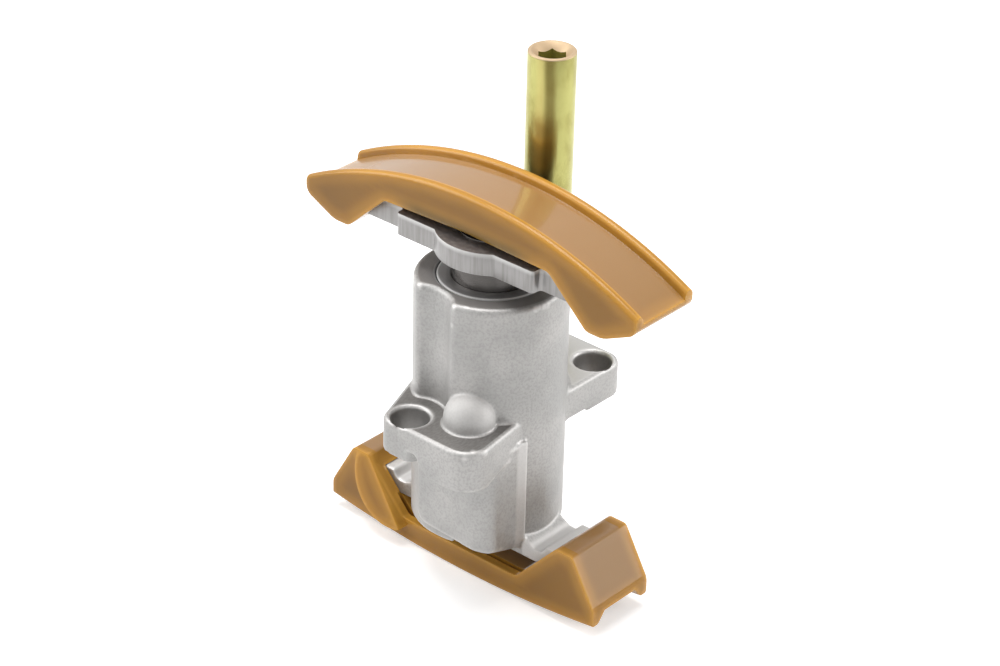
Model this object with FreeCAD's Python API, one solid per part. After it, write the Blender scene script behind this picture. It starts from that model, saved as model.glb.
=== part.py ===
import FreeCAD, Part
import math
import os

from FreeCAD import Vector

# Hydraulic chain tensioner: a cast housing with a spring-loaded plunger that carries a plate and an
# upper sliding shoe, a lower sliding shoe clipped to the housing's base, and a guide pillar.
# Millimetres. Heights are above the seat plane under the two bolt ears. The plunger's axis is the
# working axis of this file, and every piece is shifted at the end so that the origin is the middle
# of the two bolt holes.

# Bolts and seat
bolt_hole_r = 3.4
front_hole_x = -2.75
front_hole_y = -17.35
rear_hole_x = 7.8
rear_hole_y = 18.7
bolt_head_clear_r = 6.6
hole_lead = 0.4

# Housing barrel
barrel_r = 13.5
barrel_top = 28.7
barrel_bottom = -18.6
barrel_edge_round = 1.0
scallop_edge_round = 1.5

# Ears
ear_thickness = 6.5
ear_web = 4.4
ear_edge_round = 0.9
ear_root_round = 0.8
front_ear_edge_y = -21.0
front_ear_left = -6.4
front_ear_left_r = 3.0
front_ear_right = 14.6
front_ear_root_left = -12.5
front_ear_root_right = 12.2
front_ear_root_y = -5.0
lobe_r = 4.5
lobe_left = 4.5
lobe_lean = 3.0
lobe_depth = 1.3
lobe_bend_y = -15.5
lobe_bend_r = 2.0
lobe_rear_z = 1.6
seat_pad_r = 4.4
rear_ear_margin = 3.8
rear_ear_left = -9.5
rear_ear_edge_y = 23.6
rear_ear_r = 3.6
rear_seat_step = 0.6
rear_pad_r = 6.5

# Dome over the oil passage
dome_x = 6.1
dome_y = -12.1
dome_r = 4.5
dome_straight = 1.2

# Leg with the oil inlet
leg_left = -4.6
leg_left_front_y = -13.7
leg_right = 12.8
leg_right_front_y = -15.3
leg_bottom_r = 2.8
leg_back_y = -5.0
leg_bottom_front = -16.4
leg_bottom_slope = 0.32
leg_corner_r = 3.5
leg_left_r = 1.0
rib_front_y = -6.95
rib_crest_y = -4.9
rib_proud = 0.6
rib_root = 2.0
rib_top = 2.6

# Base that holds the lower shoe
base_half_length = 22.0
base_half_width = 5.0
base_bottom = -21.1
base_top = -17.7
base_scoop_depth = 0.7
base_scoop_half = 2.0
lip_start = 17.3
lip_rise = 0.9
lip_tip_r = 0.3
lip_crest_r = 0.4
scoop_r = 0.8
scoop_fall = 0.1
shoulder_sink = 1.5
shoulder_rise = 1.2

# Liner, plunger and their fits
bore_floor = -11.0
liner_r = 9.5
plunger_r = 7.03
running_clearance = 0.04
mouth_chamfer = 0.35
liner_edge = 0.3
liner_lead = 0.35
liner_lead_depth = 0.5
reservoir_r = 5.0
reservoir_depth = 3.0
passage_r = 1.3
passage_rise = 0.2
inlet_y = -11.0
inlet_r = 2.0
inlet_clear = 5.0

plunger_top = 33.4
plunger_bottom = -5.6
plunger_bore_r = 5.4
crown = 4.4
skirt_chamfer = 0.4
spigot_r = 6.0
spigot_proud = 0.25
spigot_chamfer = 0.2
spigot_fit = 0.02
vent_r = 0.6
plunger_travel = 8.0

ring_wire_r = 0.55
ring_z = 20.0
ring_gap_angle = 18.0
ring_side_clearance = 0.1
ring_groove_slack = 0.05
ring_groove_depth = 0.1
ring_relief_slack = 0.2

# Inside the plunger
vent_disc_thickness = 0.8
vent_groove = 0.4
filler_head = 1.8
filler_r = 3.1
filler_clearance = 0.6
filler_chamfer = 0.6
inner_clearance = 0.1
spring_wire_r = 0.75
spring_turns = 10

# Check valve
valve_seat_thickness = 3.0
valve_port_r = 1.4
seal_r = 4.4
seal_wire_r = 0.6
seal_groove_slack = 0.05
ball_r = 2.0
ball_lift = 0.8
cage_sheet = 0.5
cage_inner_r = 2.4
cage_flange_r = 6.4
cage_windows = 3
cage_window_width = 1.6
cage_window_foot = 0.6
cage_window_head = 0.8
ball_spring_wire_r = 0.2
ball_spring_r = 1.2
ball_spring_turns = 4
ball_spring_room = 2.4
ball_seat_clearance = 0.02

# Oil screen in the leg
screen_outer_r = 3.0
screen_ring_wall = 0.7
screen_ring_height = 1.6
screen_sheet = 0.3
screen_hole_r = 0.32
screen_pitch = 0.85
screen_rings = 2
screen_lip = 0.3
screen_recess = 2.2

# Carrier plate
plate_thickness = 4.1
plate_half_width = 7.55
plate_half_length = 15.4
plate_bulge_r = 10.0
plate_bulge_blend = 3.0
plate_corner_r = 0.7
tab_half_width = 5.55
tab_half_length = 25.5
tab_corner_r = 0.6
fork_wall = 3.0
fork_clearance = 0.1
fork_corner_r = 1.0

# Guide pillar
pillar_r = 4.25
pillar_top = 63.7
pillar_thread_r = 3.0
pillar_thread_gap = 0.8
socket_flats = 4.0
socket_depth = 5.0
countersink_r = 2.95
pillar_edge = 0.35
pillar_relief = 0.35

# Sliding shoes
shoe_half_width = 7.4
rim_width = 1.6
rim_round = 0.7
rim_inner_round = 0.5
rim_foot_round = 0.5
cutter_clear = 2.0
pick_reach = 0.1

upper_rim_r = 79.3
upper_rise = 8.6
upper_channel = 2.2
upper_floor_half = 5.5
upper_web = 2.6
upper_half_length = 37.1
upper_tip_face = 3.0
upper_tip_round = 1.2
upper_tip_low_r = 1.5
foot_drop = 2.65
foot_inner = 26.9
foot_inner_r = 0.6
foot_outer = 30.4
foot_outer_r = 1.5
hook_top_x = 18.4
hook_top_r = 0.8
hook_top_rise = 1.15
upper_arch_rise = 1.75
shoe_rib_y = 3.6
shoe_rib_wall = 1.2
shoe_cross_ribs = 2
seat_clearance = 0.05

lower_rim_r = 211.0
lower_apex = -28.8
lower_channel = 2.1
lower_floor_half = 4.1
lower_half_length = 31.1
lower_end_top = -23.4
lower_end_round = 1.2
lower_end_top_r = 0.8
ridge_outer = 25.9
ridge_inner = 22.2
ridge_top = -14.35
ridge_r = 0.6
hollow_corner_x = 13.4
hollow_corner_r = 0.8
trough_past_corner = 3.0
pad_half_width = 4.9
lower_rim_top = -24.0
lower_floor = -25.0
pocket_clearance = 0.15
nose_lean = 0.22
nose_root = 0.5
nose_r = 9.6
nose_centre_x = -15.4
nose_centre_z = -16.0

# Places worked out from the sizes above
front_hole = Vector(front_hole_x, front_hole_y, 0)
rear_hole = Vector(rear_hole_x, rear_hole_y, 0)
dome_centre = Vector(dome_x, dome_y, 0)
inlet_centre = Vector(dome_x, inlet_y, 0)
origin_shift = (front_hole + rear_hole) * -0.5
guide_centre = Vector(front_hole_x, -front_hole_y, 0)
plate_top = plunger_top + plate_thickness
upper_apex = plate_top + upper_rise
foot_bottom = plunger_top - foot_drop
liner_bore_r = plunger_r + running_clearance
seat_top = bore_floor + valve_seat_thickness
flange_top = seat_top + cage_sheet
ball_rise = math.sqrt(ball_r ** 2 - valve_port_r ** 2) + ball_seat_clearance
ball_z = seat_top + ball_rise
ball_spring_rise = math.sqrt((ball_r + ball_spring_wire_r) ** 2 - ball_spring_r ** 2) - ball_spring_wire_r
ball_spring_low = ball_z + ball_spring_rise + ball_seat_clearance
cage_roof = ball_z + ball_r + ball_spring_room
crown_under = plunger_top - crown
filler_top = crown_under - vent_disc_thickness
spring_top = filler_top - filler_head
screen_top = leg_bottom_front + screen_recess
spring_mean_r = plunger_bore_r - inner_clearance - spring_wire_r

UP = Vector(0, 0, 1)
ACROSS = Vector(0, 1, 0)


def save(name, shape):
    """Shift a finished piece into the bolt frame and write it."""
    placed = shape.copy()
    placed.translate(origin_shift)
    solids = placed.Solids
    assert placed.isValid() and len(solids) == 1, name
    solids[0].exportStep("parts/" + name + ".step")
    print(name, round(solids[0].Volume, 1))


def drum(radius, low, high, centre=Vector(0, 0, 0)):
    """Upright cylinder between two heights."""
    return Part.makeCylinder(radius, high - low, Vector(centre.x, centre.y, low))


def block(x0, x1, y0, y1, z0, z1):
    """Box between limits."""
    return Part.makeBox(x1 - x0, y1 - y0, z1 - z0, Vector(x0, y0, z0))


def rounded_wire(corners):
    """Closed outline through (point, radius) corners, each corner eased by a tangent arc."""
    count = len(corners)
    starts = []
    ends = []
    arcs = []
    for i, (point, radius) in enumerate(corners):
        before = (corners[i - 1][0] - point).normalize()
        after = (corners[(i + 1) % count][0] - point).normalize()
        if radius == 0:
            starts.append(point)
            ends.append(point)
            arcs.append(None)
            continue
        half = before.getAngle(after) / 2
        reach = radius / math.tan(half)
        centre = point + (before + after).normalize() * (radius / math.sin(half))
        middle = centre + (point - centre).normalize() * radius
        starts.append(point + before * reach)
        ends.append(point + after * reach)
        arcs.append(Part.Arc(starts[i], middle, ends[i]).toShape())
    edges = []
    for i in range(count):
        if arcs[i] is not None:
            edges.append(arcs[i])
        following = starts[(i + 1) % count]
        if ends[i].distanceToPoint(following) > 1e-6:
            edges.append(Part.makeLine(ends[i], following))
    return Part.Wire(Part.__sortEdges__(edges))


def prism(corners, direction):
    """Solid swept from an outline of (point, radius) corners."""
    return Part.Face(rounded_wire(corners)).extrude(direction)


def upright(points, low, high):
    """Upright prism from (x, y, radius) corners."""
    corners = [(Vector(x, y, low), radius) for x, y, radius in points]
    return prism(corners, UP * (high - low))


def across(points, half_width):
    """Prism across the part from (x, z, radius) corners."""
    corners = [(Vector(x, -half_width, z), radius) for x, z, radius in points]
    return prism(corners, ACROSS * (2 * half_width))


def turned(points):
    """Solid turned about the plunger's axis from (radius, height) points."""
    outline = [Vector(radius, 0, height) for radius, height in points]
    wire = Part.makePolygon(outline + [outline[0]])
    return Part.Face(wire).revolve(Vector(0, 0, 0), UP, 360)


def eased(solid, radius, chosen):
    """Round the edges that the test picks."""
    edges = [edge for edge in solid.Edges if chosen(edge)]
    return solid.makeFillet(radius, edges)


def lies_at(height):
    """Test for edges that lie in one level plane."""
    return lambda edge: all(abs(v.Z - height) < 1e-4 for v in edge.Vertexes) and (
        abs(edge.BoundBox.ZMin - edge.BoundBox.ZMax) < 1e-4
    )


def coil(mean_r, wire_r, low, high, turns):
    """Compression spring between two seats."""
    height = high - low - 2 * wire_r
    helix = Part.makeHelix(height / turns, height, mean_r)
    helix.translate(UP * (low + wire_r))
    start = Vector(mean_r, 0, low + wire_r)
    section = Part.Wire(Part.makeCircle(wire_r, start, ACROSS))
    return Part.Wire(helix.Edges).makePipeShell([section], True, True)


def barrel():
    """Turned outside of the barrel, with a bolt-head scallop in front."""
    body = drum(barrel_r, barrel_bottom, barrel_top)
    body = body.cut(drum(bolt_head_clear_r, ear_thickness, barrel_top, front_hole))
    body = eased(body, scallop_edge_round, lambda edge: (
        abs(edge.BoundBox.ZLength - (barrel_top - ear_thickness)) < 1e-4
        and edge.CenterOfMass.y < 0
    ))
    return eased(body, barrel_edge_round, lies_at(barrel_top))


def front_ear():
    """Front ear plate with its deep seat pad on the left and the deeper lobe on the right."""
    outline = [
        (front_ear_root_left, front_ear_root_y, 0),
        (front_ear_left, front_ear_edge_y, front_ear_left_r),
        (front_ear_right, front_ear_edge_y, lobe_r),
        (front_ear_root_right, front_ear_root_y, 0),
    ]
    under = ear_thickness - ear_web
    plate = eased(upright(outline, under, ear_thickness), ear_edge_round, lies_at(ear_thickness))
    left_half = block(front_ear_root_left, front_hole.x, front_ear_edge_y, front_ear_root_y, 0, under)
    pad = upright(outline, 0, under).common(left_half.fuse(drum(seat_pad_r, 0, under, front_hole)))
    start = lobe_left - lobe_lean
    lobe = prism([
        (Vector(start, front_ear_edge_y, under), 0),
        (Vector(start, front_ear_edge_y, -lobe_depth), 0),
        (Vector(start, lobe_bend_y, -lobe_depth), lobe_bend_r),
        (Vector(start, front_ear_root_y, lobe_rear_z), 0),
        (Vector(start, front_ear_root_y, under), 0),
    ], Vector(front_ear_right - start, 0, 0))
    leaning = across([
        (start, under, 0),
        (lobe_left, -lobe_depth, 0),
        (front_ear_right, -lobe_depth, 0),
        (front_ear_right, under, 0),
    ], -front_ear_edge_y)
    lobe = lobe.common(leaning).common(upright(outline, -lobe_depth, under))
    return plate.fuse(pad).fuse(lobe)


def rear_ear():
    """Rear ear from the guide pillar to the rear bolt, rooted at the barrel's middle, with a seat pad."""
    right = rear_hole.x + rear_ear_margin
    outline = [
        (right, 0, 0),
        (right, rear_ear_edge_y, rear_ear_r),
        (rear_ear_left, rear_ear_edge_y, rear_ear_r),
        (rear_ear_left, 0, 0),
    ]
    plate = upright(outline, rear_seat_step, ear_thickness)
    plate = eased(plate, ear_edge_round, lies_at(ear_thickness))
    pad = upright(outline, 0, rear_seat_step).common(
        drum(rear_pad_r, 0, rear_seat_step, rear_hole))
    return plate.fuse(pad)


def leg():
    """Block under the front ear that holds the oil inlet; its underside slopes down to the back."""
    top = ear_thickness - ear_web
    depth = leg_back_y - leg_right_front_y
    fall = leg_bottom_slope * depth
    outline = upright([
        (leg_left, leg_back_y, 0),
        (leg_left, leg_left_front_y, leg_left_r),
        (leg_right, leg_right_front_y, leg_corner_r),
        (leg_right, leg_back_y, 0),
    ], leg_bottom_front - fall, top)
    front = [
        (Vector(leg_left, leg_right_front_y, top + fall), 0),
        (Vector(leg_left, leg_right_front_y, leg_bottom_front), leg_bottom_r),
        (Vector(leg_right, leg_right_front_y, leg_bottom_front), leg_left_r),
        (Vector(leg_right, leg_right_front_y, top + fall), 0),
    ]
    return outline.common(prism(front, Vector(0, depth, -fall)))


def rib():
    """Wedge-shaped rib that closes the corner between the leg and the barrel's right side."""
    return upright([
        (barrel_r - rib_root, rib_front_y, 0),
        (leg_right, rib_front_y, 0),
        (leg_right + rib_proud, rib_crest_y, 0),
        (barrel_r - rib_root, rib_crest_y, 0),
    ], base_top, rib_top)


def dome():
    """Round-topped boss over the oil passage."""
    column = drum(dome_r, 0, ear_thickness + dome_straight, dome_centre)
    cap = Part.makeSphere(dome_r, dome_centre + UP * (ear_thickness + dome_straight))
    return column.fuse(cap)


def base():
    """Flat base with scooped shoulders and raised lips that hook into the lower shoe."""
    scoop_low = base_top - base_scoop_depth
    scoop_x = lip_start - base_scoop_half
    right = [
        (base_half_length, base_bottom, 0),
        (base_half_length, base_top + lip_rise, lip_tip_r),
        (lip_start + lip_rise, base_top + lip_rise, lip_crest_r),
        (lip_start, scoop_low + scoop_fall, scoop_r),
        (scoop_x, scoop_low, scoop_r),
        (barrel_r - shoulder_sink, base_top + shoulder_rise, 0),
    ]
    left = [(-x, z, radius) for x, z, radius in reversed(right)]
    return across(right + left, base_half_width)


def oil_ways(body):
    """Bore, reservoir, inlet column and the cross way between them."""
    body = body.cut(drum(liner_r, bore_floor, barrel_top))
    mouth = Part.makeCone(liner_r, liner_r + mouth_chamfer, mouth_chamfer,
                          UP * (barrel_top - mouth_chamfer))
    body = body.cut(mouth).cut(drum(reservoir_r, bore_floor - reservoir_depth, bore_floor))
    low = leg_bottom_front - inlet_clear
    body = body.cut(drum(inlet_r, low, ear_thickness, inlet_centre))
    body = body.cut(drum(screen_outer_r, low, screen_top, inlet_centre))
    start = inlet_centre + UP * (bore_floor - reservoir_depth + passage_r + passage_rise)
    way = Vector(-inlet_centre.x, -inlet_centre.y, 0)
    return body.cut(Part.makeCylinder(passage_r, way.Length, start, way))


def rear_root(edge):
    """Whether an edge is the barrel's round root on the rear ear's top."""
    return (lies_at(ear_thickness)(edge) and hasattr(edge.Curve, "Radius")
            and abs(edge.Curve.Radius - barrel_r) < 1e-4 and edge.CenterOfMass.y > 0)


def housing():
    """Whole casting."""
    body = barrel()
    for piece in (front_ear(), rear_ear(), leg(), rib(), dome(), base()):
        body = body.fuse(piece)
    for centre in (front_hole, rear_hole):
        body = body.cut(drum(bolt_hole_r, barrel_bottom, barrel_top, centre))
        lead = Part.makeCone(bolt_hole_r, bolt_hole_r + hole_lead, hole_lead,
                             centre + UP * (ear_thickness - hole_lead))
        body = body.cut(lead)
    body = body.cut(drum(pillar_thread_r, 0, ear_thickness, guide_centre))
    body = body.cut(drum(pillar_r + pillar_relief, ear_thickness, barrel_top, guide_centre))
    return eased(oil_ways(body).removeSplitter(), ear_root_round, rear_root)


def liner():
    """Steel sleeve in the barrel, with a groove for the retaining ring."""
    outer = liner_r - liner_edge
    bore = liner_bore_r
    sleeve = turned([
        (bore, bore_floor),
        (liner_r, bore_floor),
        (liner_r, barrel_top - liner_edge),
        (outer, barrel_top),
        (bore + liner_lead, barrel_top),
        (bore, barrel_top - liner_lead_depth),
    ])
    groove_half = ring_wire_r + ring_groove_slack
    groove_r = bore + ring_wire_r + ring_groove_depth
    groove = drum(groove_r, ring_z - groove_half, ring_z + groove_half)
    return sleeve.cut(groove)


def plunger():
    """Hollow piston with a spigot for the plate and a relief for the retaining ring."""
    relief_r = plunger_r - ring_wire_r - ring_relief_slack
    relief_low = ring_z - ring_wire_r - plunger_travel - ring_side_clearance
    relief_high = ring_z + ring_wire_r + ring_side_clearance
    spigot_top = plate_top + spigot_proud
    return turned([
        (vent_r, crown_under),
        (plunger_bore_r, crown_under),
        (plunger_bore_r, plunger_bottom),
        (plunger_r - skirt_chamfer, plunger_bottom),
        (plunger_r, plunger_bottom + skirt_chamfer),
        (plunger_r, relief_low),
        (relief_r, relief_low),
        (relief_r, relief_high),
        (plunger_r, relief_high),
        (plunger_r, plunger_top),
        (spigot_r, plunger_top),
        (spigot_r, spigot_top - spigot_chamfer),
        (spigot_r - spigot_chamfer, spigot_top),
        (vent_r, spigot_top),
    ])


def retaining_ring():
    """Open wire ring that stops the plunger at full reach."""
    section = Part.Wire(Part.makeCircle(ring_wire_r, Vector(liner_bore_r, 0, ring_z), ACROSS))
    turn = 360 - ring_gap_angle
    return Part.Face(section).revolve(Vector(0, 0, 0), UP, turn)


def vent_disc():
    """Disc with a bleed groove under the plunger's crown."""
    disc = drum(plunger_bore_r - inner_clearance, filler_top, crown_under)
    half = vent_groove / 2
    return disc.cut(block(0, plunger_bore_r, -half, half, crown_under - vent_groove, crown_under))


def filler():
    """Plastic insert that fills the spring's inside and seats its upper end."""
    stem_low = cage_roof + cage_sheet + filler_clearance
    return turned([
        (0, stem_low),
        (filler_r - filler_chamfer, stem_low),
        (filler_r, stem_low + filler_chamfer),
        (filler_r, spring_top),
        (plunger_bore_r - inner_clearance, spring_top),
        (plunger_bore_r - inner_clearance, filler_top),
        (0, filler_top),
    ])


def valve_seat():
    """Disc at the foot of the liner with the oil port and a groove for its seal."""
    groove_low = seal_r - seal_wire_r - seal_groove_slack
    groove_high = seal_r + seal_wire_r + seal_groove_slack
    groove_top = bore_floor + 2 * seal_wire_r + seal_groove_slack
    return turned([
        (valve_port_r, bore_floor),
        (groove_low, bore_floor),
        (groove_low, groove_top),
        (groove_high, groove_top),
        (groove_high, bore_floor),
        (liner_bore_r, bore_floor),
        (liner_bore_r, seat_top),
        (valve_port_r, seat_top),
    ])


def valve_cage():
    """Stamped cup that keeps the ball over the port."""
    outer = cage_inner_r + cage_sheet
    cup = turned([
        (cage_inner_r, seat_top),
        (cage_flange_r, seat_top),
        (cage_flange_r, flange_top),
        (outer, flange_top),
        (outer, cage_roof + cage_sheet),
        (0, cage_roof + cage_sheet),
        (0, cage_roof),
        (cage_inner_r, cage_roof),
    ])
    half = cage_window_width / 2
    low = flange_top + cage_window_foot
    window = block(0, outer, -half, half, low, cage_roof - cage_window_head)
    for step in range(cage_windows):
        turned_window = window.copy()
        turned_window.rotate(Vector(0, 0, 0), UP, 360 / cage_windows * step)
        cup = cup.cut(turned_window)
    return cup


def screen_ring():
    """Pressed ring with an inner lip over the oil screen."""
    low = screen_top - screen_ring_height
    inner = screen_outer_r - screen_ring_wall
    lip = drum(inner - screen_lip, low, screen_top, inlet_centre)
    recess = drum(inner, low, screen_top - screen_sheet, inlet_centre)
    return drum(screen_outer_r, low, screen_top, inlet_centre).cut(lip).cut(recess)


def feed_screen():
    """Thin perforated disc inside its ring."""
    high = screen_top - screen_sheet
    low = high - screen_sheet
    disc = drum(screen_outer_r - screen_ring_wall, low, high, inlet_centre)
    for ring in range(1, screen_rings + 1):
        count = 6 * ring
        for step in range(count):
            angle = 2 * math.pi * step / count
            away = Vector(math.cos(angle), math.sin(angle), 0) * (screen_pitch * ring)
            place = inlet_centre + away
            disc = disc.cut(drum(screen_hole_r, low, high, place))
    return disc


def seat_seal():
    """Rubber ring that seals the valve seat on the bore's floor, in a groove under the seat."""
    centre_z = bore_floor + seal_wire_r
    section = Part.Wire(Part.makeCircle(seal_wire_r, Vector(seal_r, 0, centre_z), ACROSS))
    return Part.Face(section).revolve(Vector(0, 0, 0), UP, 360)


def plate_outline():
    """Straight-sided plate with a narrow tab at each end, as (x, y, radius) corners."""
    quarter = [
        (tab_half_length, tab_half_width, tab_corner_r),
        (plate_half_length, tab_half_width, plate_corner_r),
        (plate_half_length, plate_half_width, plate_corner_r),
    ]
    right = [(x, -y, radius) for x, y, radius in reversed(quarter)] + quarter
    return right + [(-x, -y, radius) for x, y, radius in right]


def carrier_plate():
    """Stamped plate: straight sides, a round belly, narrow end tabs and a rear fork."""
    plate = upright(plate_outline(), plunger_top, plate_top)
    plate = plate.fuse(drum(plate_bulge_r, plunger_top, plate_top)).removeSplitter()
    plate = eased(plate, plate_bulge_blend, lambda edge: (
        edge.BoundBox.ZLength > plate_thickness / 2
        and abs(abs(edge.CenterOfMass.y) - plate_half_width) < 1e-4
        and abs(edge.CenterOfMass.x) < plate_bulge_r))
    slot_r = pillar_r + fork_clearance
    reach = slot_r + fork_wall
    fork = upright([
        (guide_centre.x - reach, 0, 0),
        (guide_centre.x + reach, 0, 0),
        (guide_centre.x + reach, guide_centre.y, fork_corner_r),
        (guide_centre.x - reach, guide_centre.y, fork_corner_r),
    ], plunger_top, plate_top)
    slot = drum(slot_r, plunger_top, plate_top, guide_centre)
    hole = drum(spigot_r + spigot_fit, plunger_top, plate_top)
    return plate.fuse(fork).cut(slot).cut(hole).removeSplitter()


def guide_pillar():
    """Plated pillar with a hexagon socket, screwed into the rear ear."""
    shank = drum(pillar_r, ear_thickness, pillar_top, guide_centre)
    shank = shank.makeChamfer(pillar_edge, [e for e in shank.Edges if lies_at(pillar_top)(e)])
    thread = drum(pillar_thread_r, pillar_thread_gap, ear_thickness, guide_centre)
    corner_r = socket_flats / math.sqrt(3)
    floor = pillar_top - socket_depth
    hexagon = []
    for step in range(6):
        angle = math.pi / 3 * step
        hexagon.append((guide_centre.x + corner_r * math.cos(angle),
                        guide_centre.y + corner_r * math.sin(angle), 0))
    socket = upright(hexagon, floor, pillar_top)
    sink_depth = countersink_r - socket_flats / 2
    sink = Part.makeCone(socket_flats / 2, countersink_r, sink_depth,
                         guide_centre + UP * (pillar_top - sink_depth))
    return shank.fuse(thread).cut(socket).cut(sink).removeSplitter()


def channel_cutter(centre_z, rim_r, channel, floor_half, outward):
    """Swept cutter that leaves two rounded rims with a recessed running face between them."""
    out = shoe_half_width
    inner = out - rim_width

    def at(y, rise):
        return Vector(0, y, centre_z + outward * (rim_r + rise))

    half = [
        (at(floor_half, -channel), rim_foot_round),
        (at(inner, 0), rim_inner_round),
        (at(out, 0), rim_round),
        (at(out, -rim_round), 0),
        (at(out + cutter_clear, -rim_round), 0),
        (at(out + cutter_clear, channel + cutter_clear), 0),
    ]
    mirrored = [(Vector(0, -point.y, point.z), radius) for point, radius in reversed(half)]
    face = Part.Face(rounded_wire(half + mirrored))
    sweep = math.degrees(math.asin((upper_half_length + cutter_clear) / rim_r))
    pivot = Vector(0, 0, centre_z)
    face.rotate(pivot, ACROSS, -sweep)
    return face.revolve(pivot, ACROSS, 2 * sweep)


def end_edges(half_length, height):
    """Test for straight edges across a shoe's two ends near one height."""
    return lambda edge: (
        edge.BoundBox.YLength > shoe_half_width
        and edge.BoundBox.ZLength < 1e-4
        and abs(abs(edge.CenterOfMass.x) - half_length) < 1e-4
        and abs(edge.CenterOfMass.z - height) < pick_reach
    )


def arched(shape, radius, centre_z):
    """What lies inside a big cylinder across the part."""
    wide = shoe_half_width + cutter_clear
    disc = Part.makeCylinder(radius, 2 * wide, Vector(0, -wide, centre_z), ACROSS)
    return shape.common(disc)


def upper_block(centre_z):
    """Full-width block between the arched top and the hooked underside."""
    corner = centre_z + math.sqrt(upper_rim_r ** 2 - upper_half_length ** 2)
    right = [
        (hook_top_x, plate_top + hook_top_rise, hook_top_r),
        (foot_inner, foot_bottom, foot_inner_r),
        (foot_outer, foot_bottom, foot_outer_r),
        (upper_half_length, corner - upper_tip_face, upper_tip_low_r),
        (upper_half_length, upper_apex + cutter_clear, 0),
    ]
    left = [(-x, z, radius) for x, z, radius in reversed(right)]
    outline = left + [(0, plate_top + upper_arch_rise, 0)] + right
    shape = arched(across(outline, shoe_half_width), upper_rim_r, centre_z)
    return eased(shape, upper_tip_round, end_edges(upper_half_length, corner))


def upper_hollows(centre_z):
    """Hollows between the ribs under the running face."""
    inner = shoe_half_width - rim_width
    seat = plate_top + seat_clearance
    reach = tab_half_length + pocket_clearance
    space = block(-reach, reach, -inner, inner, seat, upper_apex)
    space = arched(space, upper_rim_r - upper_channel - upper_web, centre_z)
    half_wall = shoe_rib_wall / 2
    for y in (-shoe_rib_y, shoe_rib_y):
        space = space.cut(block(-reach, reach, y - half_wall, y + half_wall, seat, upper_apex))
    for step in range(-shoe_cross_ribs, shoe_cross_ribs + 1):
        x = step * hook_top_x / shoe_cross_ribs
        space = space.cut(block(x - half_wall, x + half_wall, -inner, inner, seat, upper_apex))
    return space


def upper_shoe():
    """Arched plastic shoe that clips over the plate's tabs."""
    centre_z = upper_apex - upper_rim_r
    shape = upper_block(centre_z).cut(upper_hollows(centre_z))
    reach = tab_half_length + pocket_clearance
    wide = tab_half_width + pocket_clearance
    tabs = block(-reach, reach, -wide, wide, plunger_top - pocket_clearance, plate_top + seat_clearance)
    cutter = channel_cutter(centre_z, upper_rim_r, upper_channel, upper_floor_half, 1)
    return shape.cut(tabs).cut(cutter)


def lower_block(centre_z):
    """Block with a sagging underside, a trapezoid ridge at each end and a low middle."""
    right = [
        (lower_half_length, lower_apex - cutter_clear, 0),
        (lower_half_length, lower_end_top, lower_end_top_r),
        (ridge_outer, ridge_top, ridge_r),
        (ridge_inner, ridge_top, ridge_r),
        (hollow_corner_x, lower_rim_top, hollow_corner_r),
    ]
    left = [(-x, z, radius) for x, z, radius in reversed(right)]
    shape = arched(across(right + left, shoe_half_width), lower_rim_r, centre_z)
    corner = centre_z - math.sqrt(lower_rim_r ** 2 - lower_half_length ** 2)
    return eased(shape, lower_end_round, end_edges(lower_half_length, corner))


def lower_shoe():
    """Plastic shoe clipped to the base, running face downwards, with a nose on its left front."""
    centre_z = lower_apex + lower_rim_r
    shape = lower_block(centre_z)
    inner = shoe_half_width - rim_width
    reach = hollow_corner_x + trough_past_corner
    seat = base_bottom - seat_clearance
    trough = block(-reach, reach, -inner, inner, lower_floor, 0)
    pad = block(-reach, reach, -pad_half_width, pad_half_width, lower_floor, seat)
    pocket_x = base_half_length + pocket_clearance
    pocket_y = base_half_width + pocket_clearance
    pocket = block(-pocket_x, pocket_x, -pocket_y, pocket_y, seat, base_top + lip_rise + pocket_clearance)
    cutter = channel_cutter(centre_z, lower_rim_r, lower_channel, lower_floor_half, -1)
    shape = shape.cut(trough.cut(pad)).cut(pocket)
    return shape.fuse(nose()).cut(cutter).removeSplitter()


def nose():
    """Guide nose: a rounded cheek whose face leans outwards as it goes down."""
    root = -shoe_half_width + nose_root
    fall = ridge_top - lower_rim_top
    run = ridge_inner - hollow_corner_x
    left = -ridge_inner - nose_r
    low = lower_rim_top - fall / 2
    outline = across([
        (left, low, 0),
        (-hollow_corner_x + run / 2, low, 0),
        (-ridge_inner, ridge_top, 0),
        (left, ridge_top, 0),
    ], shoe_half_width + nose_r)
    disc = Part.makeCylinder(nose_r, nose_r, Vector(nose_centre_x, root - nose_r, nose_centre_z), ACROSS)
    tip_y = -shoe_half_width - nose_lean * (ridge_top - low)
    lean = prism([
        (Vector(left, root, ridge_top), 0),
        (Vector(left, -shoe_half_width, ridge_top), 0),
        (Vector(left, tip_y, low), 0),
        (Vector(left, root, low), 0),
    ], Vector(-left, 0, 0))
    return disc.common(outline).common(lean)


os.makedirs("parts", exist_ok=True)
save("housing", housing())
save("liner", liner())
save("plunger", plunger())
save("retaining_ring", retaining_ring())
save("vent_disc", vent_disc())
save("filler", filler())
save("main_spring", coil(spring_mean_r, spring_wire_r, flange_top, spring_top, spring_turns))
save("valve_seat", valve_seat())
save("seat_seal", seat_seal())
save("valve_cage", valve_cage())
save("check_ball", Part.makeSphere(ball_r, UP * ball_z))
save("ball_spring", coil(ball_spring_r, ball_spring_wire_r, ball_spring_low, cage_roof,
                         ball_spring_turns))
save("screen_ring", screen_ring())
save("feed_screen", feed_screen())
save("carrier_plate", carrier_plate())
save("guide_pillar", guide_pillar())
save("upper_shoe", upper_shoe())
save("lower_shoe", lower_shoe())
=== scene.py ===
import math
import bmesh
import bpy
from mathutils import Matrix, Vector, kdtree


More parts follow.
